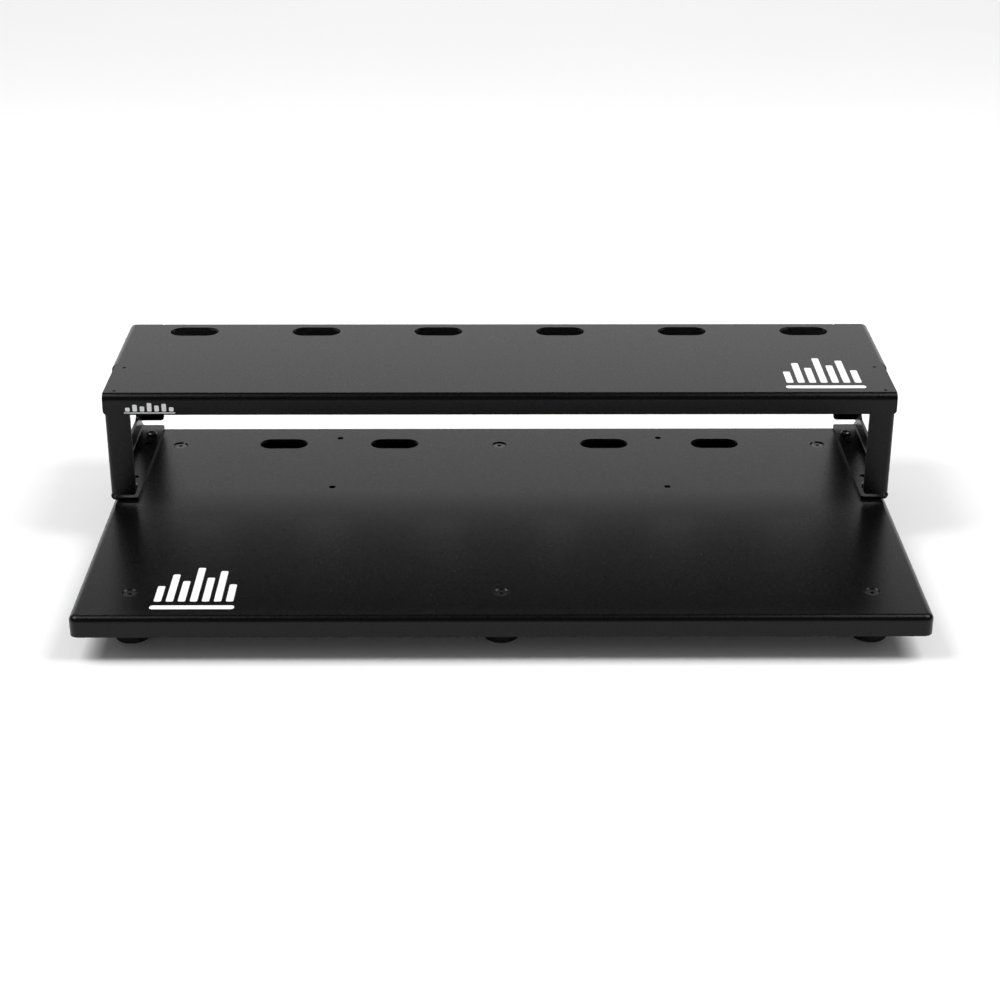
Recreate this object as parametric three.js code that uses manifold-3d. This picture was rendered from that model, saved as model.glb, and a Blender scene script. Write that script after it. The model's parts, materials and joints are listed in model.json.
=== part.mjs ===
// Pedalboard with a hinged riser: a bent-sheet tray on six rubber feet carries two side
// brackets, and a riser deck turns on a pivot at the rear of each bracket.
// Millimetres. +X right, +Y rear, +Z up. The origin is on the floor, in the middle of the
// whole footprint: the tray plus the riser deck's overhang at the rear.
import * as THREE from 'three';
import { mergeVertices } from 'three/addons/utils/BufferGeometryUtils.js';
import Module from 'manifold-3d';

const wasm = await Module();
wasm.setup();

// ---- driving dimensions ----

const SHEET = 3.0; // sheet thickness of tray, deck and brackets
const BEND = 5.0; // outer radius of the brackets' bends and the return flange's
const GAP = 0.3; // between pieces that touch on the real object
const LIP = 21.0; // height of the tray's lips

const TRAY_LENGTH = 812.8;
const TRAY_DEPTH = 457.2;
const TRAY_CORNER = 9.0;
const TRAY_BEND = 6.2; // outer radius from the tray's top into its lips
const FOOT_HEIGHT = 44.0;
const OVERHANG = 16.4; // the deck's rear lip stands this far behind the tray
const TRAY_REAR = (TRAY_DEPTH - OVERHANG) / 2;
const TRAY_CENTRE_Y = TRAY_REAR - TRAY_DEPTH / 2;
const TRAY_TOP = FOOT_HEIGHT + SHEET;

const FOOT_INSET = 50.8; // foot axes from the tray's edges
const FOOT_TOP_R = 19.0;
const FOOT_BOTTOM_R = 17.0;
const FOOT_EDGE_R = 2.0;
const FOOT_RECESS_R = 8.0;
const FOOT_RECESS_DEPTH = 14.0;

const SLOT_LENGTH = 53.0;
const SLOT_WIDTH = 26.5;
const TRAY_SLOT_X = [117.0, 240.6];
const TRAY_SLOT_FROM_REAR = 47.8;
const RETURN_WIDTH = 16.0; // return flange under the tray's rear lip
const RETURN_HALF = 385.0;
const SUPPLY_HOLE_R = 3.5;
const SUPPLY_HOLE_X = 178.7;
const SUPPLY_HOLES_FROM_REAR = [32.0, 163.8];

const DECK_RISE = 120.5; // deck top above tray top
const DECK_DEPTH = 211.0; // front lip to the rear ends of the flat sheet
const DECK_LIP = 22.0; // height of the deck's lips and skirts
const DECK_BEND = 7.5; // outer radius from the deck's top into its lips
const DECK_FRONT_HALF = 408.6; // half width of the front part, which has no skirts
const SKIRT_HALF = 413.0; // half width over the skirts
const SKIRT_LENGTH = 123.0; // the skirts run along the deck's rear part
const REAR_LIP_HALF = 374.0; // half width of the deck's rear lip, which passes between the brackets
const REAR_LIP_OUT = 6.0; // the rear lip's face stands this far behind the flat's ends
const BEND_RELIEF = 1.5; // slits beside the rear lip
const DECK_SLOTS = 6;
const DECK_SLOT_PITCH = 135.0;
const DECK_SLOT_FROM_REAR = 23.3;
const DECK_LIP_FACE = TRAY_REAR + OVERHANG;
const DECK_REAR = DECK_LIP_FACE - REAR_LIP_OUT;
const DECK_FRONT = DECK_REAR - DECK_DEPTH;
const DECK_TOP = TRAY_TOP + DECK_RISE;

const BUMPER_X = 397.5;
const BUMPERS_FROM_REAR = [199.5, 133.6];
const BUMPER_SPACE = 1.5; // deck underside to bracket top
const BUMPER_HOLE_R = 2.0;

const BRACKET_HALF = 408.2; // half width over the two brackets
const BRACKET_REAR = TRAY_REAR - 0.6;
const BRACKET_FRONT = DECK_FRONT + SHEET + 1.0;
const BRACKET_BOTTOM = TRAY_TOP + GAP;
const BRACKET_TOP = DECK_TOP - SHEET - BUMPER_SPACE;
const FLANGE = 26.4; // front and top flanges
const FOOT_FLANGE = 28.0; // bottom and rear flanges
const FLANGE_CORNER = 4.0;
const FRONT_CLEARANCE = 6.0; // tray top to the lower edge of the front flange
const REAR_CLEARANCE = 10.0; // and of the rear flange
const WINDOW_MARGIN = 22.0;
const WINDOW_CORNER = 8.0;
const BRACKET_HOLE_X = 390.8;
const BRACKET_SCREW_REACH = 70.0; // screws from the bracket's middle, fore and aft
const BRACKET_SPARE_REACH = 45.0; // spare holes, likewise
const BRACKET_MIDDLE_Y = (BRACKET_FRONT + BRACKET_REAR) / 2;

const PIVOT_EDGE = 9.0; // pivot axis from the bracket's top and rear faces
const PIVOT_Y = BRACKET_REAR - PIVOT_EDGE;
const PIVOT_Z = BRACKET_TOP - PIVOT_EDGE;

const BOLT_R = 3.0; // M6
const BOLT_HOLE_R = 3.4;
const NUT_R = 5.77; // M6 nut across corners, halved
const NUT_HEIGHT = 5.0;
const WASHER_R = 6.4;
const WASHER_THICK = 1.2;
const SOCKET_R = 2.3; // 4 mm hexagon socket across corners, halved

const ROUND = 16; // sides of a screw or nut bore
const FOOT_SIDES = 20;
const ARC_STEPS = 5; // steps in a quarter bend or corner

// ---- materials ----

const finish = (color, roughness, metalness) =>
  new THREE.MeshStandardMaterial({ color, roughness, metalness });

const COAT = finish(0x17181a, 0.5, 0.3);
const RUBBER = finish(0x0c0c0d, 0.85, 0.0);
const BLACK_STEEL = finish(0x202124, 0.4, 0.9);
const ZINC = finish(0xb4b7ba, 0.4, 0.9);
const NYLON = finish(0x151515, 0.6, 0.0);

// ---- solids: booleans on closed three.js geometries ----

function toSolid(geometry) {
  const bare = geometry.clone();
  bare.deleteAttribute('normal');
  bare.deleteAttribute('uv');
  const merged = mergeVertices(bare, 1e-4);
  const index = merged.index.array;
  const triangles = [];
  for (let i = 0; i < index.length; i += 3) {
    const [a, b, c] = [index[i], index[i + 1], index[i + 2]];
    if (a !== b && b !== c && c !== a) triangles.push(a, b, c);
  }
  return new wasm.Manifold(new wasm.Mesh({
    numProp: 3,
    vertProperties: Float32Array.from(merged.attributes.position.array),
    triVerts: Uint32Array.from(triangles),
  }));
}

function toGeometry(solid) {
  const mesh = solid.getMesh();
  const geometry = new THREE.BufferGeometry();
  geometry.setAttribute('position', new THREE.BufferAttribute(Float32Array.from(mesh.vertProperties), 3));
  geometry.setIndex(new THREE.BufferAttribute(Uint32Array.from(mesh.triVerts), 1));
  geometry.computeVertexNormals();
  return geometry;
}

const join = (geometries) =>
  toGeometry(geometries.map(toSolid).reduce((sum, solid) => sum.add(solid)));

const cut = (geometry, cutters) =>
  toGeometry(cutters.map(toSolid).reduce((sum, solid) => sum.subtract(solid), toSolid(geometry)));

const common = (a, b) => toGeometry(toSolid(a).intersect(toSolid(b)));

// ---- outlines ----

// Rectangle with its own radius at each corner, counter-clockwise from the low corner.
function roundedRectangle(x0, y0, x1, y1, radii) {
  const [lowLeft, lowRight, highRight, highLeft] = radii;
  const outline = new THREE.Shape();
  outline.moveTo(x0 + lowLeft, y0);
  outline.lineTo(x1 - lowRight, y0);
  if (lowRight) outline.absarc(x1 - lowRight, y0 + lowRight, lowRight, -Math.PI / 2, 0);
  outline.lineTo(x1, y1 - highRight);
  if (highRight) outline.absarc(x1 - highRight, y1 - highRight, highRight, 0, Math.PI / 2);
  outline.lineTo(x0 + highLeft, y1);
  if (highLeft) outline.absarc(x0 + highLeft, y1 - highLeft, highLeft, Math.PI / 2, Math.PI);
  outline.lineTo(x0, y0 + lowLeft);
  if (lowLeft) outline.absarc(x0 + lowLeft, y0 + lowLeft, lowLeft, Math.PI, Math.PI * 1.5);
  return outline;
}

// Slot with half-round ends, centred on (x, y), long along x.
function slotOutline(x, y) {
  const r = SLOT_WIDTH / 2;
  const reach = SLOT_LENGTH / 2 - r;
  const outline = new THREE.Shape();
  outline.absarc(x + reach, y, r, -Math.PI / 2, Math.PI / 2);
  outline.absarc(x - reach, y, r, Math.PI / 2, Math.PI * 1.5);
  return outline;
}

// Bend and flange along the edge of a wall. The wall's outer face is u = 0 and its edge is
// v = 0; the flange reaches u = -width.
function flangeOutline(width) {
  const outline = new THREE.Shape();
  const stub = 1.0;
  outline.moveTo(0, BEND + stub);
  outline.lineTo(-SHEET, BEND + stub);
  outline.lineTo(-SHEET, BEND);
  outline.absarc(-BEND, BEND, BEND - SHEET, 0, -Math.PI / 2, true);
  outline.lineTo(-width, SHEET);
  outline.lineTo(-width, 0);
  outline.lineTo(-BEND, 0);
  outline.absarc(-BEND, BEND, BEND, -Math.PI / 2, 0);
  return outline;
}

// ---- extrusions along each axis ----

function extrude(outline, length, steps = ARC_STEPS) {
  return new THREE.ExtrudeGeometry(outline, { depth: length, bevelEnabled: false, curveSegments: steps });
}

// Outline in (X, Y), from z0 up to z1.
const alongZ = (outline, z0, z1, steps) => extrude(outline, z1 - z0, steps).translate(0, 0, z0);

// Outline in (Y, Z), from x0 to x1.
function alongX(outline, x0, x1, steps) {
  const turn = new THREE.Matrix4().makeBasis(
    new THREE.Vector3(0, 1, 0), new THREE.Vector3(0, 0, 1), new THREE.Vector3(1, 0, 0));
  return extrude(outline, x1 - x0, steps).applyMatrix4(turn).translate(x0, 0, 0);
}

// Outline in (X, Z), from y0 to y1.
function alongY(outline, y0, y1, steps) {
  const turn = new THREE.Matrix4().makeBasis(
    new THREE.Vector3(1, 0, 0), new THREE.Vector3(0, 0, 1), new THREE.Vector3(0, -1, 0));
  return extrude(outline, y1 - y0, steps).applyMatrix4(turn).translate(0, y1, 0);
}

const circle = (x, y, r) => new THREE.Shape().absarc(x, y, r, 0, Math.PI * 2);
const drillZ = (x, y, r, z0, z1) => alongZ(circle(x, y, r), z0, z1, ROUND);
const drillX = (y, z, r, x0, x1) => alongX(circle(y, z, r), x0, x1, ROUND);

// Turned solid about the Z axis from [radius, z] points.
function turned(points, sides = ROUND) {
  const profile = points.map(([r, z]) => new THREE.Vector2(r, z));
  return new THREE.LatheGeometry(profile, sides).rotateX(Math.PI / 2);
}

// LatheGeometry faces out when its profile climbs, so a profile is given from the bottom up.
const ring = (rIn, rOut, z0, z1) =>
  turned([[rIn, z0], [rOut, z0], [rOut, z1], [rIn, z1], [rIn, z0]]);

// ---- tray ----

// Closed pan: a rounded-rectangle block whose top edge is rounded by the bend.
function pan(inset, bottom, top, bend) {
  const centreX = TRAY_LENGTH / 2 - TRAY_CORNER;
  const centreY = TRAY_DEPTH / 2 - TRAY_CORNER;
  const levels = [[inset, bottom]];
  for (let i = 0; i <= ARC_STEPS; i += 1) {
    const angle = (i / ARC_STEPS) * (Math.PI / 2);
    levels.push([inset + bend * (1 - Math.cos(angle)), top - bend * (1 - Math.sin(angle))]);
  }
  const corners = [[1, 1], [-1, 1], [-1, -1], [1, -1]];
  const points = [];
  for (const [distance, z] of levels) {
    corners.forEach(([sx, sy], quarter) => {
      for (let i = 0; i <= ARC_STEPS; i += 1) {
        const angle = (quarter + i / ARC_STEPS) * (Math.PI / 2);
        const r = TRAY_CORNER - distance;
        points.push(sx * centreX + r * Math.cos(angle), sy * centreY + r * Math.sin(angle), z);
      }
    });
  }
  const around = corners.length * (ARC_STEPS + 1);
  const index = [];
  for (let level = 0; level < levels.length - 1; level += 1) {
    for (let i = 0; i < around; i += 1) {
      const low = level * around + i;
      const lowNext = level * around + ((i + 1) % around);
      index.push(low, lowNext, lowNext + around, low, lowNext + around, low + around);
    }
  }
  const last = (levels.length - 1) * around;
  for (let i = 1; i < around - 1; i += 1) {
    index.push(0, i + 1, i);
    index.push(last, last + i, last + i + 1);
  }
  const geometry = new THREE.BufferGeometry();
  geometry.setAttribute('position', new THREE.Float32BufferAttribute(points, 3));
  geometry.setIndex(index);
  return geometry.translate(0, TRAY_CENTRE_Y, 0);
}

const footX = TRAY_LENGTH / 2 - FOOT_INSET;
const footY = TRAY_DEPTH / 2 - FOOT_INSET;
const FEET = [];
for (const [row, sy] of [['front', -1], ['rear', 1]]) {
  for (const [column, sx] of [['left', -1], ['centre', 0], ['right', 1]]) {
    FEET.push({ name: `${row}_${column}`, x: sx * footX, y: TRAY_CENTRE_Y + sy * footY });
  }
}

const COUNTERSINK_R = 8.2; // 45 degree countersink at the tray's top face

function countersink(x, y) {
  const over = 1.0;
  return turned([
    [0, TRAY_TOP - COUNTERSINK_R],
    [COUNTERSINK_R + over, TRAY_TOP + over],
    [0, TRAY_TOP + over],
  ]).translate(x, y, 0);
}

function bracketHoles(bottom, top) {
  const holes = [];
  for (const side of [-1, 1]) {
    for (const reach of [BRACKET_SCREW_REACH, BRACKET_SPARE_REACH]) {
      for (const end of [-1, 1]) {
        holes.push(drillZ(side * BRACKET_HOLE_X, BRACKET_MIDDLE_Y + end * reach, BOLT_HOLE_R, bottom, top));
      }
    }
  }
  return holes;
}

// Pan whose rear lip turns inwards again at the bottom, in a return flange.
function trayPan() {
  const lipBottom = TRAY_TOP - LIP;
  const outer = pan(0, lipBottom, TRAY_TOP, TRAY_BEND);
  const inner = pan(SHEET, lipBottom - 1, TRAY_TOP - SHEET, TRAY_BEND - SHEET);
  const square = [0, 0, 0, 0];
  const trim = roundedRectangle(-RETURN_HALF, TRAY_REAR - SHEET - 0.5, RETURN_HALF, TRAY_REAR + 1, square);
  const lipped = cut(outer, [inner, alongZ(trim, lipBottom - 1, lipBottom + BEND)]);
  const strip = alongX(flangeOutline(RETURN_WIDTH), -RETURN_HALF, RETURN_HALF)
    .translate(0, TRAY_REAR, lipBottom);
  const plan = roundedRectangle(-RETURN_HALF, TRAY_REAR - RETURN_WIDTH, RETURN_HALF, TRAY_REAR,
    [FLANGE_CORNER, FLANGE_CORNER, 0, 0]);
  return join([lipped, common(strip, alongZ(plan, lipBottom - 1, TRAY_TOP))]);
}

function trayGeometry() {
  const below = TRAY_TOP - SHEET - 1;
  const above = TRAY_TOP + 1;
  const cutters = [];
  for (const x of TRAY_SLOT_X) {
    for (const side of [-1, 1]) {
      cutters.push(alongZ(slotOutline(side * x, TRAY_REAR - TRAY_SLOT_FROM_REAR), below, above, ROUND / 2));
    }
  }
  for (const fromRear of SUPPLY_HOLES_FROM_REAR) {
    for (const side of [-1, 1]) {
      cutters.push(drillZ(side * SUPPLY_HOLE_X, TRAY_REAR - fromRear, SUPPLY_HOLE_R, below, above));
    }
  }
  FEET.forEach(({ x, y }) => cutters.push(countersink(x, y)));
  return cut(trayPan(), [...cutters, ...bracketHoles(below, above)]);
}

// ---- riser deck ----

// Sheet with one lip turned down: the lip's outer face is y = 0 and the flat runs to y = reach.
function lippedSheet(half, reach) {
  const outline = new THREE.Shape();
  const under = DECK_TOP - SHEET;
  const lipBottom = DECK_TOP - DECK_LIP;
  outline.moveTo(0, lipBottom);
  outline.lineTo(SHEET, lipBottom);
  outline.lineTo(SHEET, DECK_TOP - DECK_BEND);
  outline.absarc(DECK_BEND, DECK_TOP - DECK_BEND, DECK_BEND - SHEET, Math.PI, Math.PI / 2, true);
  outline.lineTo(reach, under);
  outline.lineTo(reach, DECK_TOP);
  outline.lineTo(DECK_BEND, DECK_TOP);
  outline.absarc(DECK_BEND, DECK_TOP - DECK_BEND, DECK_BEND, Math.PI / 2, Math.PI);
  const sheet = alongX(outline, -half, half);
  const corners = [FLANGE_CORNER, FLANGE_CORNER, 0, 0];
  const frontView = roundedRectangle(-half, lipBottom, half, DECK_TOP + 1, corners);
  return common(sheet, alongY(frontView, -1, reach + 1));
}

function deckFrontPart() {
  const reach = DECK_REAR - SKIRT_LENGTH + 1 - DECK_FRONT;
  return lippedSheet(DECK_FRONT_HALF, reach).translate(0, DECK_FRONT, 0);
}

const deckRearLip = () =>
  lippedSheet(REAR_LIP_HALF, DECK_BEND + 1).rotateZ(Math.PI).translate(0, DECK_LIP_FACE, 0);

function deckRearPart() {
  const skirtStart = DECK_REAR - SKIRT_LENGTH;
  const outline = new THREE.Shape();
  const lipBottom = DECK_TOP - DECK_LIP;
  const inner = SKIRT_HALF - SHEET;
  const bendX = SKIRT_HALF - DECK_BEND;
  const bendZ = DECK_TOP - DECK_BEND;
  outline.moveTo(-SKIRT_HALF, lipBottom);
  outline.lineTo(-inner, lipBottom);
  outline.lineTo(-inner, bendZ);
  outline.absarc(-bendX, bendZ, DECK_BEND - SHEET, Math.PI, Math.PI / 2, true);
  outline.lineTo(bendX, DECK_TOP - SHEET);
  outline.absarc(bendX, bendZ, DECK_BEND - SHEET, Math.PI / 2, 0, true);
  outline.lineTo(inner, lipBottom);
  outline.lineTo(SKIRT_HALF, lipBottom);
  outline.lineTo(SKIRT_HALF, bendZ);
  outline.absarc(bendX, bendZ, DECK_BEND, 0, Math.PI / 2);
  outline.lineTo(-bendX, DECK_TOP);
  outline.absarc(-bendX, bendZ, DECK_BEND, Math.PI / 2, Math.PI);
  const sheet = alongY(outline, skirtStart, DECK_REAR);
  const sideView = roundedRectangle(skirtStart, lipBottom, DECK_REAR, DECK_TOP + 1,
    [FLANGE_CORNER, FLANGE_CORNER, 0, 0]);
  const skirted = common(sheet, alongX(sideView, -SKIRT_HALF - 1, SKIRT_HALF + 1));
  const notchHalf = REAR_LIP_HALF + BEND_RELIEF;
  const notchStart = DECK_LIP_FACE - DECK_BEND;
  const notch = roundedRectangle(-notchHalf, notchStart, notchHalf, DECK_REAR + 1, [0, 0, 0, 0]);
  return cut(skirted, [alongZ(notch, DECK_TOP - SHEET - 1, DECK_TOP + 1)]);
}

function deckGeometry() {
  const below = DECK_TOP - SHEET - 1;
  const above = DECK_TOP + 1;
  const cutters = [drillX(PIVOT_Y, PIVOT_Z, BOLT_HOLE_R, -SKIRT_HALF - 1, SKIRT_HALF + 1)];
  for (let i = 0; i < DECK_SLOTS; i += 1) {
    const x = (i - (DECK_SLOTS - 1) / 2) * DECK_SLOT_PITCH;
    cutters.push(alongZ(slotOutline(x, DECK_REAR - DECK_SLOT_FROM_REAR), below, above, ROUND / 2));
  }
  for (const fromRear of BUMPERS_FROM_REAR) {
    for (const side of [-1, 1]) {
      cutters.push(drillZ(side * BUMPER_X, DECK_REAR - fromRear, BUMPER_HOLE_R, below, above));
    }
  }
  return cut(join([deckFrontPart(), deckRearPart(), deckRearLip()]), cutters);
}

// ---- brackets ----

// Flat wall, in (Y, Z). Its rear top corner is an arc about the pivot.
function wallOutline() {
  const earStart = PIVOT_Y - 12;
  const earBottom = PIVOT_Z - 7;
  const outline = new THREE.Shape();
  outline.moveTo(BRACKET_FRONT + BEND, BRACKET_BOTTOM + BEND);
  outline.lineTo(BRACKET_REAR - BEND, BRACKET_BOTTOM + BEND);
  outline.lineTo(BRACKET_REAR - BEND, earBottom);
  outline.lineTo(BRACKET_REAR, earBottom);
  outline.absarc(PIVOT_Y, PIVOT_Z, PIVOT_EDGE, 0, Math.PI / 2);
  outline.lineTo(earStart, BRACKET_TOP);
  outline.lineTo(earStart, BRACKET_TOP - BEND);
  outline.lineTo(BRACKET_FRONT + BEND, BRACKET_TOP - BEND);
  return outline;
}

// Horizontal flange of the right-hand bracket, between y0 and y1.
function levelFlange(width, z, up, y0, y1) {
  const strip = alongY(flangeOutline(width), 0, y1 - y0);
  if (!up) strip.rotateX(Math.PI).translate(0, y1 - y0, 0);
  strip.translate(BRACKET_HALF, y0, z);
  const plan = roundedRectangle(BRACKET_HALF - width, y0, BRACKET_HALF, y1,
    [FLANGE_CORNER, 0, 0, FLANGE_CORNER]);
  return common(strip, alongZ(plan, z - BEND * 2, z + BEND * 2));
}

// Upright flange of the right-hand bracket, between z0 and z1.
function uprightFlange(width, y, forward, z0, z1) {
  const strip = alongZ(flangeOutline(width), 0, z1 - z0);
  if (!forward) strip.rotateX(Math.PI).translate(0, 0, z1 - z0);
  strip.translate(BRACKET_HALF, y, z0);
  const face = roundedRectangle(BRACKET_HALF - width, z0, BRACKET_HALF, z1,
    [FLANGE_CORNER, 0, 0, FLANGE_CORNER]);
  return common(strip, alongY(face, y - BEND * 2, y + BEND * 2));
}

function bracketGeometry(side) {
  const wall = alongX(wallOutline(), BRACKET_HALF - SHEET, BRACKET_HALF);
  const body = join([
    wall,
    levelFlange(FOOT_FLANGE, BRACKET_BOTTOM, true, BRACKET_FRONT, BRACKET_REAR),
    levelFlange(FLANGE, BRACKET_TOP, false, BRACKET_FRONT + BEND + 1, PIVOT_Y - 13),
    uprightFlange(FLANGE, BRACKET_FRONT, true, TRAY_TOP + FRONT_CLEARANCE, BRACKET_TOP - BEND - 1),
    uprightFlange(FOOT_FLANGE, BRACKET_REAR, false, TRAY_TOP + REAR_CLEARANCE, PIVOT_Z - 7.5),
  ]);
  const window = roundedRectangle(
    BRACKET_FRONT + WINDOW_MARGIN, TRAY_TOP + WINDOW_MARGIN - 1,
    BRACKET_REAR - WINDOW_MARGIN, BRACKET_TOP - WINDOW_MARGIN + 3,
    [WINDOW_CORNER, WINDOW_CORNER, WINDOW_CORNER, WINDOW_CORNER]);
  const right = cut(body, [
    alongX(window, BRACKET_HALF - SHEET - 1, BRACKET_HALF + 1),
    drillX(PIVOT_Y, PIVOT_Z, BOLT_HOLE_R, BRACKET_HALF - SHEET - 1, BRACKET_HALF + 1),
    ...bracketHoles(TRAY_TOP - 1, TRAY_TOP + BEND),
  ]);
  return side > 0 ? right : mirroredInX(right);
}

function mirroredInX(geometry) {
  const copy = geometry.clone().scale(-1, 1, 1);
  const index = copy.index.array;
  for (let i = 0; i < index.length; i += 3) {
    [index[i + 1], index[i + 2]] = [index[i + 2], index[i + 1]];
  }
  copy.computeVertexNormals();
  return copy;
}

// ---- feet and fasteners, each along its own Z axis ----

const hexPrism = (r, z0, z1) =>
  new THREE.CylinderGeometry(r, r, z1 - z0, 6).rotateX(Math.PI / 2).translate(0, 0, (z0 + z1) / 2);

function footGeometry() {
  const top = FOOT_HEIGHT - GAP;
  const edge = FOOT_EDGE_R * (1 - Math.SQRT1_2);
  const mouthR = 5.0; // clears the cone of the screw's head
  const mouthDepth = 2.0;
  return turned([
    [FOOT_RECESS_R, 0],
    [FOOT_BOTTOM_R - FOOT_EDGE_R, 0],
    [FOOT_BOTTOM_R - edge, edge],
    [FOOT_BOTTOM_R, FOOT_EDGE_R],
    [FOOT_TOP_R, top],
    [mouthR, top],
    [mouthR, top - mouthDepth],
    [BOLT_HOLE_R, top - mouthDepth],
    [BOLT_HOLE_R, FOOT_RECESS_DEPTH],
    [FOOT_RECESS_R, FOOT_RECESS_DEPTH],
    [FOOT_RECESS_R, 0],
  ], FOOT_SIDES);
}

const FOOT_SCREW_HEAD_R = 6.6;
const FOOT_SCREW_SUNK = 1.1; // head face below the tray's top face
const FOOT_SCREW_LENGTH = 40.0;

// Countersunk socket screw, head face at z = 0.
function countersunkScrew() {
  const body = turned([
    [0, -FOOT_SCREW_LENGTH],
    [BOLT_R, -FOOT_SCREW_LENGTH],
    [BOLT_R, BOLT_R - FOOT_SCREW_HEAD_R],
    [FOOT_SCREW_HEAD_R, 0],
    [0, 0],
  ]);
  return cut(body, [hexPrism(SOCKET_R, -2.5, 1)]);
}

// Button-head socket screw, underside of the head at z = 0.
function buttonScrew(headR, headHeight, length) {
  const body = turned([
    [0, -length],
    [BOLT_R, -length],
    [BOLT_R, 0],
    [headR, 0],
    [headR, headHeight * 0.25],
    [headR * 0.85, headHeight * 0.75],
    [headR * 0.6, headHeight],
    [0, headHeight],
  ]);
  return cut(body, [hexPrism(SOCKET_R, headHeight * 0.35, headHeight + 1)]);
}

function nutGeometry() {
  const nut = hexPrism(NUT_R, 0, NUT_HEIGHT);
  return cut(nut, [drillZ(0, 0, BOLT_R + GAP, -1, NUT_HEIGHT + 1)]);
}

const washerGeometry = () => ring(BOLT_HOLE_R, WASHER_R, 0, WASHER_THICK);

const SPACER_R = 6.0;
const SPACER_THICK = SKIRT_HALF - SHEET - BRACKET_HALF - 2 * GAP;
const PIVOT_HEAD_R = 5.0;
const PIVOT_HEAD_HEIGHT = 2.3;
const PIVOT_BOLT_LENGTH = 16.0;

const BUMPER_R = 3.6;
const BUMPER_STEM_R = BUMPER_HOLE_R - GAP;
const BUMPER_SUNK = 0.4; // the stem's end below the deck's top face

// Bumper disc between deck and bracket, with a stem up through the deck.
function bumperGeometry() {
  const under = DECK_TOP - SHEET;
  return turned([
    [0, BRACKET_TOP + GAP],
    [BUMPER_R, BRACKET_TOP + GAP],
    [BUMPER_R, under - GAP],
    [BUMPER_STEM_R, under - GAP],
    [BUMPER_STEM_R, DECK_TOP - BUMPER_SUNK],
    [0, DECK_TOP - BUMPER_SUNK],
  ], 12);
}

// ---- assembly ----

function piece(name, geometry, material, x = 0, y = 0, z = 0) {
  const mesh = new THREE.Mesh(geometry, material);
  mesh.name = name;
  mesh.position.set(x, y, z);
  return mesh;
}

function addFeet(group) {
  const foot = footGeometry();
  const screw = countersunkScrew();
  const washer = washerGeometry();
  const nut = nutGeometry();
  const washerZ = FOOT_RECESS_DEPTH - GAP - WASHER_THICK;
  for (const { name, x, y } of FEET) {
    group.add(piece(`foot_${name}`, foot, RUBBER, x, y));
    group.add(piece(`foot_screw_${name}`, screw, BLACK_STEEL, x, y, TRAY_TOP - FOOT_SCREW_SUNK));
    group.add(piece(`foot_washer_${name}`, washer, ZINC, x, y, washerZ));
    group.add(piece(`foot_nut_${name}`, nut, ZINC, x, y, washerZ - GAP - NUT_HEIGHT));
  }
}

function addBrackets(group) {
  const headR = 5.75;
  const headHeight = 3.2;
  const screwZ = BRACKET_BOTTOM + SHEET + GAP;
  const washerZ = TRAY_TOP - SHEET - GAP - WASHER_THICK;
  const screw = buttonScrew(headR, headHeight, 16);
  const washer = washerGeometry();
  const nut = nutGeometry();
  for (const [hand, side] of [['left', -1], ['right', 1]]) {
    group.add(piece(`bracket_${hand}`, bracketGeometry(side), COAT));
    for (const [end, sign] of [['front', -1], ['rear', 1]]) {
      const x = side * BRACKET_HOLE_X;
      const y = BRACKET_MIDDLE_Y + sign * BRACKET_SCREW_REACH;
      group.add(piece(`bracket_screw_${hand}_${end}`, screw, BLACK_STEEL, x, y, screwZ));
      group.add(piece(`bracket_washer_${hand}_${end}`, washer, ZINC, x, y, washerZ));
      group.add(piece(`bracket_nut_${hand}_${end}`, nut, ZINC, x, y, washerZ - GAP - NUT_HEIGHT));
    }
  }
}

function addPivots(group) {
  const bolt = buttonScrew(PIVOT_HEAD_R, PIVOT_HEAD_HEIGHT, PIVOT_BOLT_LENGTH);
  const spacer = ring(BOLT_HOLE_R, SPACER_R, 0, SPACER_THICK);
  const nut = nutGeometry();
  for (const [hand, side] of [['left', -1], ['right', 1]]) {
    const axis = new THREE.Group();
    axis.rotation.y = side * Math.PI / 2;
    axis.position.set(0, PIVOT_Y, PIVOT_Z);
    const nutFace = BRACKET_HALF - SHEET - GAP;
    axis.add(piece(`pivot_bolt_${hand}`, bolt, BLACK_STEEL, 0, 0, SKIRT_HALF + GAP));
    axis.add(piece(`pivot_spacer_${hand}`, spacer, NYLON, 0, 0, BRACKET_HALF + GAP));
    axis.add(piece(`pivot_nut_${hand}`, nut, ZINC, 0, 0, nutFace - NUT_HEIGHT));
    group.add(axis);
  }
}

function addRiser(group) {
  const riser = new THREE.Group();
  riser.add(piece('riser_deck', deckGeometry(), COAT));
  const bumper = bumperGeometry();
  for (const [hand, side] of [['left', -1], ['right', 1]]) {
    ['front', 'middle'].forEach((place, i) => {
      riser.add(piece(`bumper_${hand}_${place}`, bumper, RUBBER,
        side * BUMPER_X, DECK_REAR - BUMPERS_FROM_REAR[i], 0));
    });
  }
  group.add(riser);
}

const pedalboard = new THREE.Group();
pedalboard.add(piece('base_tray', trayGeometry(), COAT));
addFeet(pedalboard);
addBrackets(pedalboard);
addPivots(pedalboard);
addRiser(pedalboard);

export default pedalboard;
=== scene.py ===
"""Looks for the two-tier pedalboard: finely rounded sheet pieces, feet and fasteners with
procedural finishes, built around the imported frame. Metres, in the frame's own axes."""

import json
import math

import bmesh
import bpy
from mathutils import Matrix, Vector


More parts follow.
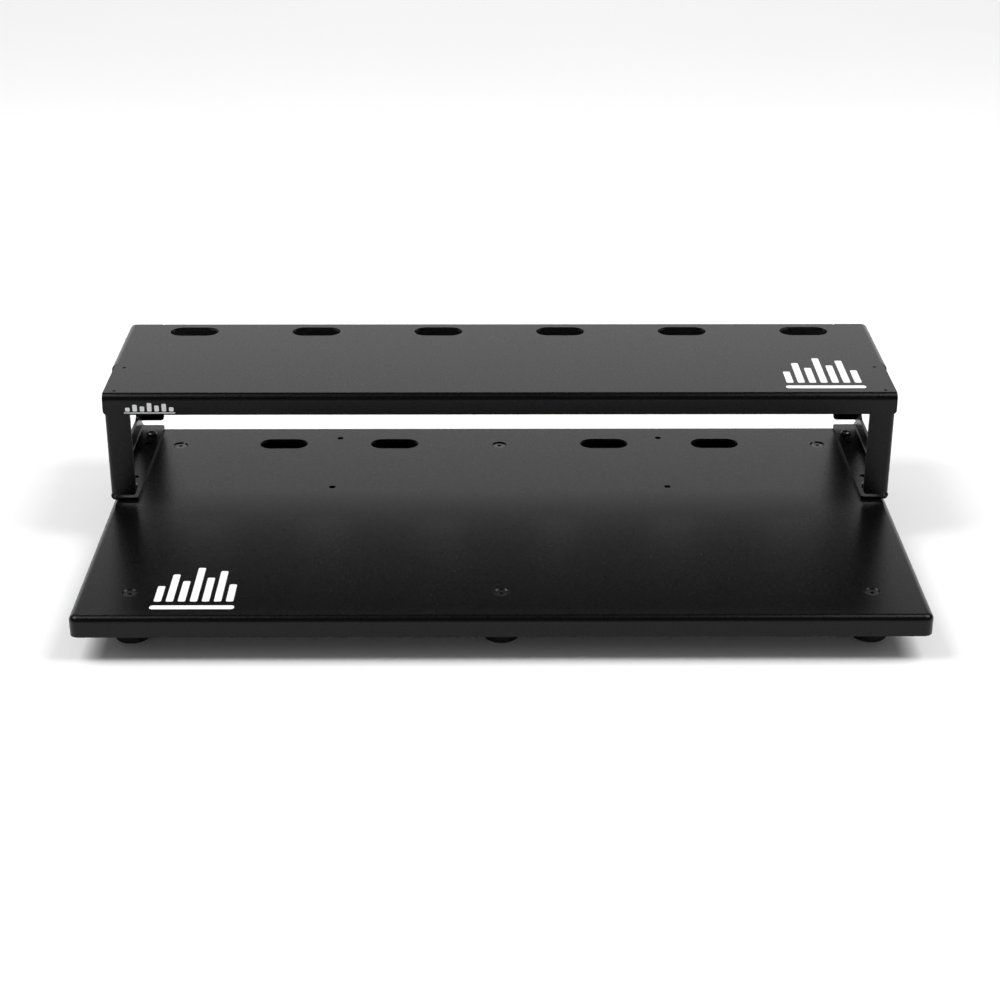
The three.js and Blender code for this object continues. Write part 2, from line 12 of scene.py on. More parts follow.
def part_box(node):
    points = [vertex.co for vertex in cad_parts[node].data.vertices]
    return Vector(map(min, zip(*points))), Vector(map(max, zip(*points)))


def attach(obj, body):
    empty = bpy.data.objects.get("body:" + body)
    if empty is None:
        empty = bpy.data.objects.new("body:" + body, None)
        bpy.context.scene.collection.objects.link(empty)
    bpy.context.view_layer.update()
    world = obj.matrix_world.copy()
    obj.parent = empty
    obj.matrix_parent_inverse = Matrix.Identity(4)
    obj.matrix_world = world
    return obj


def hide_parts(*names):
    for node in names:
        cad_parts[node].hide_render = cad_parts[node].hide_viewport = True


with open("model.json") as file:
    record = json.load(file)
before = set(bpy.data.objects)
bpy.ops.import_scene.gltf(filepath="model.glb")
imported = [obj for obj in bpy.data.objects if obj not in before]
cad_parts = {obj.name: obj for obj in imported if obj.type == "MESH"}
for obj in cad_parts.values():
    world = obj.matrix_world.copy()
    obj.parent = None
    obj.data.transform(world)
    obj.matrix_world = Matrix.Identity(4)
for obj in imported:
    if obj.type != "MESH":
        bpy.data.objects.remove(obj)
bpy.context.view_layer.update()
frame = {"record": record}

# ---- dimensions ----

MM = 0.001
SHEET = 3.0 * MM
BEND = 5.0 * MM  # brackets and return flange
TRAY_BEND = 6.2 * MM
DECK_BEND = 7.5 * MM
CUT_EDGE = 0.55 * MM  # rounding of cut sheet edges under the coat
GAP = 0.3 * MM  # between pieces that touch
WELD = 0.002 * MM  # vertices closer than this are one
FLAT_ANGLE = math.radians(0.5)  # faces that meet at less than this are one face
CRISP_ANGLE = math.radians(35)  # edges sharper than this are rounded

TRAY_LOW, TRAY_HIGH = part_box("base_tray")
DECK_LOW, DECK_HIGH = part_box("riser_deck")
BRACKET_LOW, BRACKET_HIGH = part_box("bracket_right")

TRAY_CORNER = 9.0 * MM
SLOT_LENGTH = 53.0 * MM
SLOT_WIDTH = 26.5 * MM
TRAY_SLOT_X = (117.0 * MM, 240.6 * MM)
TRAY_SLOT_FROM_REAR = 47.8 * MM
SUPPLY_HOLE_X = 178.7 * MM
SUPPLY_HOLES_FROM_REAR = (32.0 * MM, 163.8 * MM)
SUPPLY_HOLE_R = 3.5 * MM
RETURN_WIDTH = 16.0 * MM  # return flange under the tray's rear lip
RETURN_HALF = 385.0 * MM
COUNTERSINK_R = 8.2 * MM
BOLT_R = 3.0 * MM
BOLT_HOLE_R = 3.4 * MM

REAR_LIP_OUT = 6.0 * MM  # the rear lip's face stands this far behind the flat's ends
DECK_REAR = DECK_HIGH.y - REAR_LIP_OUT
DECK_FRONT_HALF = 408.6 * MM
SKIRT_LENGTH = 123.0 * MM
REAR_LIP_HALF = 374.0 * MM
BEND_RELIEF = 1.5 * MM
DECK_SLOTS = 6
DECK_SLOT_PITCH = 135.0 * MM
DECK_SLOT_FROM_REAR = 23.3 * MM
BUMPER_HOLE_R = 2.0 * MM

FLANGE = 26.4 * MM
FLANGE_CORNER = 4.0 * MM
FRONT_CLEARANCE = 6.0 * MM
REAR_CLEARANCE = 10.0 * MM
WINDOW_MARGIN = 22.0 * MM
WINDOW_CORNER = 8.0 * MM
BRACKET_HOLE_X = 390.8 * MM
BRACKET_SCREW_REACH = 70.0 * MM
BRACKET_SPARE_REACH = 45.0 * MM
PIVOT_EDGE = 9.0 * MM
EAR_DROP = 7.0 * MM  # the pivot's ear starts this far below the pivot
EAR_REACH = 12.0 * MM  # and this far in front of it
EAR_GAP = 0.5 * MM

FEET = [f"{row}_{column}" for row in ("front", "rear") for column in ("left", "centre", "right")]
SIDES = {"left": -1, "right": 1}

BEND_STEPS = 12
CORNER_STEPS = 14
HOLE_STEPS = 48


# ---- outlines: lists of (u, v) ----


def arc(cu, cv, radius, start, end, steps):
    angles = [math.radians(start + (end - start) * i / steps) for i in range(steps + 1)]
    return [(cu + radius * math.cos(a), cv + radius * math.sin(a)) for a in angles]


def rounded(u0, v0, u1, v1, radii, steps=10):
    """Rectangle with its own radius at each corner, from the low corner round."""
    corners = [(u0, v0, 1, 1, 180), (u1, v0, -1, 1, 270), (u1, v1, -1, -1, 0), (u0, v1, 1, -1, 90)]
    points = []
    for (u, v, su, sv, start), radius in zip(corners, radii):
        if radius:
            points += arc(u + su * radius, v + sv * radius, radius, start, start + 90, steps)
        else:
            points.append((u, v))
    return points


def slot(u, v):
    radius = SLOT_WIDTH / 2
    reach = SLOT_LENGTH / 2 - radius
    right = arc(u + reach, v, radius, -90, 90, HOLE_STEPS // 2)
    return right + arc(u - reach, v, radius, 90, 270, HOLE_STEPS // 2)


def circle(u, v, radius, steps=HOLE_STEPS):
    return arc(u, v, radius, 0, 360, steps)[:-1]


def bent_strip(width):
    """Bend and flange at a wall's edge: the wall's outer face is u = 0, its edge v = 0."""
    stub = 1.0 * MM
    return (
        [(0, BEND + stub), (-SHEET, BEND + stub)]
        + arc(-BEND, BEND, BEND - SHEET, 0, -90, BEND_STEPS)
        + [(-width, SHEET), (-width, 0)]
        + arc(-BEND, BEND, BEND, -90, 0, BEND_STEPS)
    )


# ---- solids ----

AXES = {"X": (1, 2, 0), "Y": (0, 2, 1), "Z": (0, 1, 2)}


def to_object(mesh, name="solid"):
    bmesh.ops.recalc_face_normals(mesh, faces=mesh.faces)
    data = bpy.data.meshes.new(name)
    mesh.to_mesh(data)
    mesh.free()
    obj = bpy.data.objects.new(name, data)
    bpy.context.scene.collection.objects.link(obj)
    return obj


def prism(points, axis, low, high):
    """An outline across an axis, extruded along it from low to high."""
    mesh = bmesh.new()
    u, v, w = AXES[axis]
    loops = []
    for height in (low, high):
        loop = []
        for a, b in points:
            co = [0.0, 0.0, 0.0]
            co[u], co[v], co[w] = a, b, height
            loop.append(mesh.verts.new(co))
        mesh.faces.new(loop)
        loops.append(loop)
    for i in range(len(points)):
        j = (i + 1) % len(points)
        mesh.faces.new((loops[0][i], loops[0][j], loops[1][j], loops[1][i]))
    return to_object(mesh)


def turned(profile, steps=HOLE_STEPS):
    """Turns a profile of (radius, z) points about Z. It starts and ends on the axis or closes."""
    mesh = bmesh.new()
    rings = []
    for radius, z in profile:
        if radius < 1e-7:
            rings.append([mesh.verts.new((0, 0, z))] * steps)
            continue
        rings.append([mesh.verts.new((u, v, z)) for u, v in circle(0, 0, radius, steps)])
    pairs = list(zip(rings, rings[1:]))
    if profile[0][0] > 0:
        pairs.append((rings[-1], rings[0]))
    for lower, upper in pairs:
        for i in range(steps):
            j = (i + 1) % steps
            corners = list(dict.fromkeys((lower[i], lower[j], upper[j], upper[i])))
            if len(corners) > 2:
                mesh.faces.new(corners)
    return to_object(mesh)


def evaluated(obj):
    """The object's mesh with its modifiers applied."""
    depsgraph = bpy.context.evaluated_depsgraph_get()
    obj.data = bpy.data.meshes.new_from_object(obj.evaluated_get(depsgraph))
    obj.modifiers.clear()
    return obj


def combine(target, operation, others):
    """A boolean of one solid with others that don't touch each other."""
    mesh = bmesh.new()
    for other in others:
        mesh.from_mesh(other.data)
        bpy.data.objects.remove(other)
    tool = to_object(mesh)
    modifier = target.modifiers.new("combine", "BOOLEAN")
    modifier.operation = operation
    modifier.solver = "EXACT"
    modifier.object = tool
    evaluated(target)
    bpy.data.objects.remove(tool)
    return target


def cut(target, others):
    return combine(target, "DIFFERENCE", others)


def rounded_edges(obj, width, segments=3):
    """Rounds every crisp edge and keeps flat faces flat in their shading. Returns the mesh."""
    mesh = bmesh.new()
    mesh.from_mesh(obj.data)
    bmesh.ops.remove_doubles(mesh, verts=mesh.verts, dist=WELD)
    bmesh.ops.dissolve_limit(mesh, angle_limit=FLAT_ANGLE, verts=mesh.verts, edges=mesh.edges)
    for face in mesh.faces:
        face.smooth = True
    mesh.to_mesh(obj.data)
    mesh.free()
    bevel = obj.modifiers.new("edges", "BEVEL")
    bevel.limit_method = "ANGLE"
    bevel.angle_limit = CRISP_ANGLE
    bevel.width = width
    bevel.segments = segments
    bevel.use_clamp_overlap = True
    normals = obj.modifiers.new("shading", "WEIGHTED_NORMAL")
    normals.mode = "FACE_AREA"
    normals.weight = 50
    normals.keep_sharp = True
    evaluated(obj)
    data = obj.data
    bpy.data.objects.remove(obj)
    return data


# ---- procedural finishes ----


class Finish:
    """Principled material with colour, roughness and bump from noise in the object's space."""

    def __init__(self, name, colour, roughness, metallic=0.0, specular=0.5):
        self.material = bpy.data.materials.new(name)
        self.material.use_nodes = True
        self.material.diffuse_color = (*colour, 1)
        self.tree = self.material.node_tree
        self.shader = self.tree.nodes["Principled BSDF"]
        self.shader.inputs["Base Color"].default_value = (*colour, 1)
        self.shader.inputs["Roughness"].default_value = roughness
        self.shader.inputs["Metallic"].default_value = metallic
        self.shader.inputs["Specular IOR Level"].default_value = specular
        self.place = self.tree.nodes.new("ShaderNodeTexCoord")
        self.colour = colour
        self.roughness = roughness

    def noise(self, size, detail=3.0):
        """Noise with grains of about that size."""
        node = self.tree.nodes.new("ShaderNodeTexNoise")
        node.inputs["Scale"].default_value = 1.0 / size
        node.inputs["Detail"].default_value = detail
        self.tree.links.new(self.place.outputs["Object"], node.inputs["Vector"])
        return node.outputs["Fac"]

    def spread(self, value, low, high):
        """Maps noise to a range."""
        node = self.tree.nodes.new("ShaderNodeMapRange")
        node.inputs["From Min"].default_value = 0.3
        node.inputs["From Max"].default_value = 0.7
        node.inputs["To Min"].default_value = low
        node.inputs["To Max"].default_value = high
        self.tree.links.new(value, node.inputs["Value"])
        return node.outputs["Result"]

    def mottled(self, size, share):
        """Colour that varies by a share, in patches of a size."""
        node = self.tree.nodes.new("ShaderNodeMix")
        node.data_type = "RGBA"
        node.inputs["A"].default_value = (*[c * (1 - share) for c in self.colour], 1)
        node.inputs["B"].default_value = (*[c * (1 + share) for c in self.colour], 1)
        self.tree.links.new(self.noise(size), node.inputs["Factor"])
        self.tree.links.new(node.outputs["Result"], self.shader.inputs["Base Color"])
        return self

    def uneven(self, size, reach):
        """Roughness that varies by a reach each way."""
        result = self.spread(self.noise(size), self.roughness - reach, self.roughness + reach)
        self.tree.links.new(result, self.shader.inputs["Roughness"])
        return self

    def grained(self, layers):
        """Bump from layers of (grain size, height), each on top of the one before."""
        normal = None
        for size, height in layers:
            node = self.tree.nodes.new("ShaderNodeBump")
            node.inputs["Strength"].default_value = 1.0
            node.inputs["Distance"].default_value = height
            self.tree.links.new(self.noise(size, 2.0), node.inputs["Height"])
            if normal:
                self.tree.links.new(normal, node.inputs["Normal"])
            normal = node.outputs["Normal"]
        self.tree.links.new(normal, self.shader.inputs["Normal"])
        return self


def powder_coat(name):
    coat = Finish(name, (0.0016, 0.0016, 0.0017), 0.30, specular=0.21)
    coat.mottled(4 * MM, 0.2).uneven(2.5 * MM, 0.04).grained([(0.9 * MM, 0.012 * MM)])
    return coat.material


def rubber(name):
    skin = Finish(name, (0.009, 0.009, 0.0092), 0.72, specular=0.35)
    skin.mottled(3 * MM, 0.3).uneven(1.5 * MM, 0.1).grained([(0.5 * MM, 0.03 * MM)])
    return skin.material


def black_oxide(name):
    steel = Finish(name, (0.085, 0.085, 0.09), 0.33, metallic=0.9)
    steel.mottled(1.5 * MM, 0.25).uneven(0.8 * MM, 0.08).grained([(0.4 * MM, 0.006 * MM)])
    return steel.material


def zinc_plate(name):
    steel = Finish(name, (0.5, 0.51, 0.53), 0.32, metallic=1.0)
    steel.mottled(1.2 * MM, 0.12).uneven(0.7 * MM, 0.08).grained([(0.3 * MM, 0.005 * MM)])
    return steel.material


def nylon(name):
    resin = Finish(name, (0.012, 0.012, 0.012), 0.5)
    resin.mottled(2 * MM, 0.2).uneven(1 * MM, 0.06).grained([(0.4 * MM, 0.01 * MM)])
    return resin.material


def print_ink(name):
    ink = Finish(name, (0.82, 0.82, 0.82), 0.5, specular=0.3)
    ink.mottled(1.5 * MM, 0.03).uneven(1 * MM, 0.06).grained([(0.5 * MM, 0.006 * MM)])
    return ink.material


FINISHES = {
    "tray_coat": powder_coat("tray_coat_satin"),
    "deck_coat": powder_coat("deck_coat_satin"),
    "bracket_coat": powder_coat("bracket_coat_satin"),
    "foot_rubber": rubber("foot_rubber_matt"),
    "bumper_rubber": rubber("bumper_rubber_matt"),
    "screw_black": black_oxide("screw_black_oxide"),
    "zinc_steel": zinc_plate("zinc_plate"),
    "spacer_nylon": nylon("spacer_nylon_moulded"),
}


def show(mesh, node, location=(0, 0, 0), rotation=(0, 0, 0)):
    """Places a finished mesh for a CAD node, on that node's body and in that node's slot."""
    name = next(s["material_slot"] for s in frame["record"]["subparts"] if s["node"] == node)
    body = next(b for b, nodes in frame["record"]["behaviour"]["bodies"].items() if node in nodes)
    piece = bpy.data.objects.new(node + "_piece", mesh)
    bpy.context.scene.collection.objects.link(piece)
    piece.location = location
    piece.rotation_euler = rotation
    if not mesh.materials:
        mesh.materials.append(FINISHES[name])
    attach(piece, body)
    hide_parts(node)
    return piece


# ---- tray ----


def tray_ring(mesh, inset, z):
    """One level of the tray's rounded-rectangle wall."""
    radius = TRAY_CORNER - inset
    points = rounded(
        TRAY_LOW.x + inset, TRAY_LOW.y + inset, TRAY_HIGH.x - inset, TRAY_HIGH.y - inset,
        [radius] * 4, CORNER_STEPS)
    return [mesh.verts.new((u, v, z)) for u, v in points]


def tray_blank():
    """The pan with no holes: top face, bend, lip, and the same again inside."""
    bend_z = TRAY_HIGH.z - TRAY_BEND
    outer_arc = arc(0, 0, TRAY_BEND, 0, 90, BEND_STEPS)
    inner_arc = arc(0, 0, TRAY_BEND - SHEET, 90, 0, BEND_STEPS)
    levels = [(0, TRAY_LOW.z)]
    levels += [(TRAY_BEND - across, bend_z + up) for across, up in outer_arc]
    inner = [(TRAY_BEND - across, bend_z + up) for across, up in inner_arc]
    inner.append((SHEET, TRAY_LOW.z))
    mesh = bmesh.new()
    rings = [tray_ring(mesh, inset, z) for inset, z in levels]
    inner_rings = [tray_ring(mesh, inset, z) for inset, z in inner]
    mesh.faces.new(rings[-1])
    mesh.faces.new(inner_rings[0])
    pairs = list(zip(rings, rings[1:])) + list(zip(inner_rings, inner_rings[1:]))
    pairs.append((inner_rings[-1], rings[0]))
    for lower, upper in pairs:
        for i in range(len(lower)):
            j = (i + 1) % len(lower)
            mesh.faces.new((lower[i], lower[j], upper[j], upper[i]))
    return to_object(mesh)


def with_return_flange(pan):
    """The tray's rear lip turns inwards again at the bottom."""
    rear, low = TRAY_HIGH.y, TRAY_LOW.z
    trim = rounded(-RETURN_HALF, rear - SHEET - 0.5 * MM, RETURN_HALF, rear + MM, [0] * 4)
    cut(pan, [prism(trim, "Z", low - MM, low + BEND)])
    profile = [(rear + u, low + v) for u, v in bent_strip(RETURN_WIDTH)]
    strip = prism(profile, "X", -RETURN_HALF, RETURN_HALF)
    corners = [FLANGE_CORNER, FLANGE_CORNER, 0, 0]
    plan = rounded(-RETURN_HALF, rear - RETURN_WIDTH, RETURN_HALF, rear, corners)
    combine(strip, "INTERSECT", [prism(plan, "Z", low - MM, TRAY_HIGH.z)])
    return combine(pan, "UNION", [strip])


def middle(node):
    low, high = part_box(node)
    return (low + high) / 2


def bracket_holes(low, high):
    centre = (BRACKET_LOW.y + BRACKET_HIGH.y) / 2
    reaches = (BRACKET_SCREW_REACH, BRACKET_SPARE_REACH)
    return [
        prism(circle(side * BRACKET_HOLE_X, centre + end * reach, BOLT_HOLE_R), "Z", low, high)
        for side in (-1, 1) for reach in reaches for end in (-1, 1)
    ]


def tray_mesh():
    below, above = TRAY_HIGH.z - SHEET - MM, TRAY_HIGH.z + MM
    holes = bracket_holes(below, above)
    slot_y = TRAY_HIGH.y - TRAY_SLOT_FROM_REAR
    for side in (-1, 1):
        for x in TRAY_SLOT_X:
            holes.append(prism(slot(side * x, slot_y), "Z", below, above))
        for from_rear in SUPPLY_HOLES_FROM_REAR:
            outline = circle(side * SUPPLY_HOLE_X, TRAY_HIGH.y - from_rear, SUPPLY_HOLE_R)
            holes.append(prism(outline, "Z", below, above))
    cone = [(0, TRAY_HIGH.z - COUNTERSINK_R), (COUNTERSINK_R + MM, above), (0, above)]
    for foot in FEET:
        centre = middle(f"foot_{foot}")
        holes.append(moved(turned(cone), Matrix.Translation((centre.x, centre.y, 0))))
    return rounded_edges(cut(with_return_flange(tray_blank()), holes), CUT_EDGE)


# ---- riser deck ----


def lipped_sheet(half, reach):
    """Sheet with one lip turned down: the lip's outer face is y = 0, the flat runs to reach."""
    low, top = DECK_LOW.z, DECK_HIGH.z
    profile = [(0, low), (SHEET, low)]
    profile += arc(DECK_BEND, top - DECK_BEND, DECK_BEND - SHEET, 180, 90, BEND_STEPS)
    profile += [(reach, top - SHEET), (reach, top)]
    profile += arc(DECK_BEND, top - DECK_BEND, DECK_BEND, 90, 180, BEND_STEPS)
    sheet = prism(profile, "X", -half, half)
    view = rounded(-half, low, half, top + MM, [FLANGE_CORNER, FLANGE_CORNER, 0, 0])
    return combine(sheet, "INTERSECT", [prism(view, "Y", -MM, reach + MM)])


def moved(obj, matrix):
    obj.data.transform(matrix)
    return obj


def deck_rear_part(skirt_start):
    half, z = DECK_HIGH.x, DECK_HIGH.z
    inner, bend_x, bend_z = half - SHEET, half - DECK_BEND, z - DECK_BEND
    profile = [(-half, DECK_LOW.z), (-inner, DECK_LOW.z)]
    profile += arc(-bend_x, bend_z, DECK_BEND - SHEET, 180, 90, BEND_STEPS)
    profile += arc(bend_x, bend_z, DECK_BEND - SHEET, 90, 0, BEND_STEPS)
    profile += [(inner, DECK_LOW.z), (half, DECK_LOW.z)]
    profile += arc(bend_x, bend_z, DECK_BEND, 0, 90, BEND_STEPS)
    profile += arc(-bend_x, bend_z, DECK_BEND, 90, 180, BEND_STEPS)
    sheet = prism(profile, "Y", skirt_start, DECK_REAR)
    corners = [FLANGE_CORNER, FLANGE_CORNER, 0, 0]
    view = rounded(skirt_start, DECK_LOW.z, DECK_REAR, z + MM, corners)
    combine(sheet, "INTERSECT", [prism(view, "X", -half - MM, half + MM)])
    notch_half = REAR_LIP_HALF + BEND_RELIEF
    notch = rounded(-notch_half, DECK_HIGH.y - DECK_BEND, notch_half, DECK_REAR + MM, [0] * 4)
    return cut(sheet, [prism(notch, "Z", z - SHEET - MM, z + MM)])


def deck_mesh():
    skirt_start = DECK_REAR - SKIRT_LENGTH
    front = lipped_sheet(DECK_FRONT_HALF, skirt_start + MM - DECK_LOW.y)
    moved(front, Matrix.Translation((0, DECK_LOW.y, 0)))
    rear_lip = lipped_sheet(REAR_LIP_HALF, DECK_BEND + MM)
    moved(rear_lip, Matrix.Translation((0, DECK_HIGH.y, 0)) @ Matrix.Rotation(math.pi, 4, "Z"))
    sheet = combine(deck_rear_part(skirt_start), "UNION", [front, rear_lip])
    pivot = middle("pivot_bolt_right")
    reach, half_depth = DECK_HIGH.x + MM, 2 * SHEET
    holes = []
    for side in (-1, 1):
        outline = circle(pivot.y, pivot.z, BOLT_HOLE_R)
        holes.append(prism(outline, "X", side * reach - half_depth, side * reach + half_depth))
    below, above = DECK_HIGH.z - SHEET - MM, DECK_HIGH.z + MM
    for i in range(DECK_SLOTS):
        x = (i - (DECK_SLOTS - 1) / 2) * DECK_SLOT_PITCH
        holes.append(prism(slot(x, DECK_REAR - DECK_SLOT_FROM_REAR), "Z", below, above))
    for hand in SIDES:
        for place in ("front", "middle"):
            centre = middle(f"bumper_{hand}_{place}")
            holes.append(prism(circle(centre.x, centre.y, BUMPER_HOLE_R, 32), "Z", below, above))
    return rounded_edges(cut(sheet, holes), CUT_EDGE)


# ---- brackets ----


def wall(pivot):
    """The bracket's flat wall, with its rear top corner rounded about the pivot."""
    front, rear = BRACKET_LOW.y + BEND, BRACKET_HIGH.y - BEND
    low, high = BRACKET_LOW.z + BEND, BRACKET_HIGH.z - BEND
    ear_low, ear_front = pivot.z - EAR_DROP, pivot.y - EAR_REACH
    outline = [(front, low), (rear, low), (rear, ear_low), (BRACKET_HIGH.y, ear_low)]
    outline += arc(pivot.y, pivot.z, PIVOT_EDGE, 0, 90, BEND_STEPS * 2)
    outline += [(ear_front, BRACKET_HIGH.z), (ear_front, high), (front, high)]
    return prism(outline, "X", BRACKET_HIGH.x - SHEET, BRACKET_HIGH.x)


def flange(width, axis, low, high, edge, upward):
    """A flange along Y or Z whose outer face is at edge, cut with two rounded corners."""
    outer = BRACKET_HIGH.x
    sign = 1 if upward else -1
    profile = [(outer + u, edge + sign * v) for u, v in bent_strip(width)]
    strip = prism(profile, axis, low, high)
    view = rounded(outer - width, low, outer, high, [FLANGE_CORNER, 0, 0, FLANGE_CORNER])
    across = "Z" if axis == "Y" else "Y"
    depth = 2 * BEND
    return combine(strip, "INTERSECT", [prism(view, across, edge - depth, edge + depth)])


def bracket_mesh(side):
    pivot = middle("pivot_bolt_right")
    front_low, rear_low = TRAY_HIGH.z + FRONT_CLEARANCE, TRAY_HIGH.z + REAR_CLEARANCE
    foot_width = BRACKET_HIGH.x - BRACKET_LOW.x
    top_start, top_end = BRACKET_LOW.y + BEND + MM, pivot.y - EAR_REACH - MM
    front_high, rear_high = BRACKET_HIGH.z - BEND - MM, pivot.z - EAR_DROP - EAR_GAP
    body = wall(pivot)
    flanges = [
        flange(foot_width, "Y", BRACKET_LOW.y, BRACKET_HIGH.y, BRACKET_LOW.z, True),
        flange(FLANGE, "Y", top_start, top_end, BRACKET_HIGH.z, False),
        flange(FLANGE, "Z", front_low, front_high, BRACKET_LOW.y, True),
        flange(foot_width, "Z", rear_low, rear_high, BRACKET_HIGH.y, False),
    ]
    for strip in flanges:
        combine(body, "UNION", [strip])
    window = rounded(
        BRACKET_LOW.y + WINDOW_MARGIN, TRAY_HIGH.z + WINDOW_MARGIN - MM,
        BRACKET_HIGH.y - WINDOW_MARGIN, BRACKET_HIGH.z - WINDOW_MARGIN + SHEET,
        [WINDOW_CORNER] * 4)
    inside, outside = BRACKET_HIGH.x - SHEET - MM, BRACKET_HIGH.x + MM
    holes = [prism(window, "X", inside, outside)]
    holes.append(prism(circle(pivot.y, pivot.z, BOLT_HOLE_R), "X", inside, outside))
    holes += bracket_holes(TRAY_HIGH.z - MM, TRAY_HIGH.z + BEND)
    cut(body, holes)
    if side < 0:  # the left bracket mirrors the right one
        mesh = bmesh.new()
        mesh.from_mesh(body.data)
        bmesh.ops.scale(mesh, vec=(-1, 1, 1), verts=mesh.verts)
        bmesh.ops.reverse_faces(mesh, faces=mesh.faces)
        mesh.to_mesh(body.data)
        mesh.free()
    return rounded_edges(body, CUT_EDGE)


# ---- feet and fasteners, along their own Z axes ----


def size_of(node):
    low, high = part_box(node)
    return high - low


def foot_mesh():
    """Tapered foot with two grooves in its sole and a recess for the nut."""
    size = size_of("foot_front_left")
    taper, edge, shoulder, chamfer = 2 * MM, 2 * MM, 0.8 * MM, 0.6 * MM
    top_r, bottom_r = size.x / 2, size.x / 2 - taper
    recess_r, recess_top = 8 * MM, 14 * MM
    mouth_r, mouth_floor = 5 * MM, size.z - 2 * MM
    groove_depth, groove_wall, groove_width = 0.5 * MM, 0.25 * MM, MM
    band_low, band_out = size.z - 2.6 * MM, 0.1 * MM
    profile = [(recess_r, chamfer), (recess_r + chamfer, 0)]
    for groove in (10.2 * MM, 12.2 * MM):
        profile += [(groove, 0), (groove + groove_wall, groove_depth)]
        profile += [(groove + groove_width - groove_wall, groove_depth), (groove + groove_width, 0)]
    profile += arc(bottom_r - edge, edge, edge, -90, 3, 10)
    profile += [(top_r - band_out, band_low), (top_r, size.z - 2 * MM)]
    profile += [(top_r, size.z - shoulder)]
    profile += arc(top_r - shoulder, size.z - shoulder, shoulder, 0, 90, 5)[1:]
    profile += [(mouth_r, size.z), (mouth_r, mouth_floor), (BOLT_HOLE_R, mouth_floor)]
    profile += [(BOLT_HOLE_R, recess_top), (recess_r, recess_top)]
    return rounded_edges(turned(profile, 72), 0.15 * MM, 2)


def thread(low, high):
    """Profile of a screw thread drawn as close rings, from low to high."""
    pitch, depth, lead, run_out = 1.0 * MM, 0.45 * MM, 0.6 * MM, 0.2 * MM
    points = [(0, low), (BOLT_R - depth, low), (BOLT_R, low + lead)]
    for i in range(1, int((high - low) / pitch)):
        z = low + lead + i * pitch
        if z + run_out > high:
            break
        points += [(BOLT_R - depth, z - pitch / 2), (BOLT_R, z)]
    return points


SOCKET_R = 2.3 * MM


def hexagon(radius, low, high):
    return prism(circle(0, 0, radius, 6), "Z", low, high)


def foot_screw_mesh():
    """Countersunk socket screw, its head's face at z = 0."""
    size = size_of("foot_screw_front_left")
    head_r, rim, socket_floor, thread_top = size.x / 2, -0.35 * MM, -2.8 * MM, -8 * MM
    profile = thread(-size.z, thread_top)
    profile += [(BOLT_R, BOLT_R - head_r), (head_r, rim), (head_r, 0), (0, 0)]
    body = turned(profile)
    return rounded_edges(cut(body, [hexagon(SOCKET_R, socket_floor, MM)]), 0.15 * MM, 2)


def button_screw_mesh(head_r, head_height, length):
    """Button-head socket screw, the underside of its head at z = 0."""
    crown_r, chamfer, thread_top = 2.9 * MM, 0.2 * MM, -2 * MM
    rim, dome_steps = 0.25, 8  # the rim's share of the head's height
    profile = thread(-length, thread_top)
    profile += [(BOLT_R, 0), (head_r - chamfer, 0), (head_r, chamfer), (head_r, head_height * rim)]
    for i in range(1, dome_steps + 1):
        angle = math.radians(90 * i / dome_steps)
        radius = crown_r + (head_r - crown_r) * math.cos(angle)
        profile.append((radius, head_height * (rim + (1 - rim) * math.sin(angle))))
    profile.append((0, head_height))
    body = turned(profile)
    socket = hexagon(SOCKET_R, head_height * 0.35, head_height + MM)
    return rounded_edges(cut(body, [socket]), 0.12 * MM, 2)


def nut_mesh():
    """Hexagon nut with chamfered corners and a threaded bore, from z = 0 up."""
    size = size_of("foot_nut_front_left")
    corner_r, height = size.y / 2, size.z
    face_r, drop = size.x / 2 - 0.2 * MM, 0.55 * MM
    turned_r = corner_r + 0.05 * MM
    form = turned([
        (0, 0), (face_r, 0), (turned_r, drop),
        (turned_r, height - drop), (face_r, height), (0, height)])
    outline = [(v, u) for u, v in circle(0, 0, corner_r, 6)]
    body = combine(prism(outline, "Z", 0, height), "INTERSECT", [form])
    bore_r, groove_r, lead = BOLT_R + GAP, BOLT_R + GAP + 0.35 * MM, 0.4 * MM
    rise, rings = 0.2 * MM, 4
    profile = [(0, -MM), (bore_r + MM, -MM), (bore_r, lead)]
    for i in range(1, rings + 1):
        profile += [(groove_r, (i - 0.5) * MM + rise), (bore_r, i * MM + rise)]
    profile += [(bore_r, height - lead), (bore_r + MM, height + MM), (0, height + MM)]
    return rounded_edges(cut(body, [turned(profile)]), 0.1 * MM, 2)


def ring_mesh(node, inner_r, across):
    """Plain washer or spacer, as thick as a node's least side, from z = 0 up."""
    thick = min(size_of(node))
    radius = across / 2
    profile = [(inner_r, 0), (radius, 0), (radius, thick), (inner_r, thick)]
    return rounded_edges(turned(profile), 0.15 * MM, 2)


def bumper_mesh():
    """Bumper disc with a chamfered rim, and the stem that holds it in the deck."""
    low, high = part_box("bumper_right_front")
    height, chamfer, dimple = high.z - low.z, 0.3 * MM, 0.3 * MM
    disc_r, stem_r = (high.x - low.x) / 2, BUMPER_HOLE_R - GAP
    thick = DECK_HIGH.z - SHEET - GAP - low.z
    profile = [(0, 0), (disc_r - chamfer, 0), (disc_r, chamfer), (disc_r, thick), (stem_r, thick)]
    profile += [(stem_r, height), (stem_r * 0.5, height)]
    profile += [(stem_r * 0.4, height - dimple), (0, height - dimple)]
    return rounded_edges(turned(profile, 32), 0.1 * MM, 2)


# ---- pieces on the frame ----


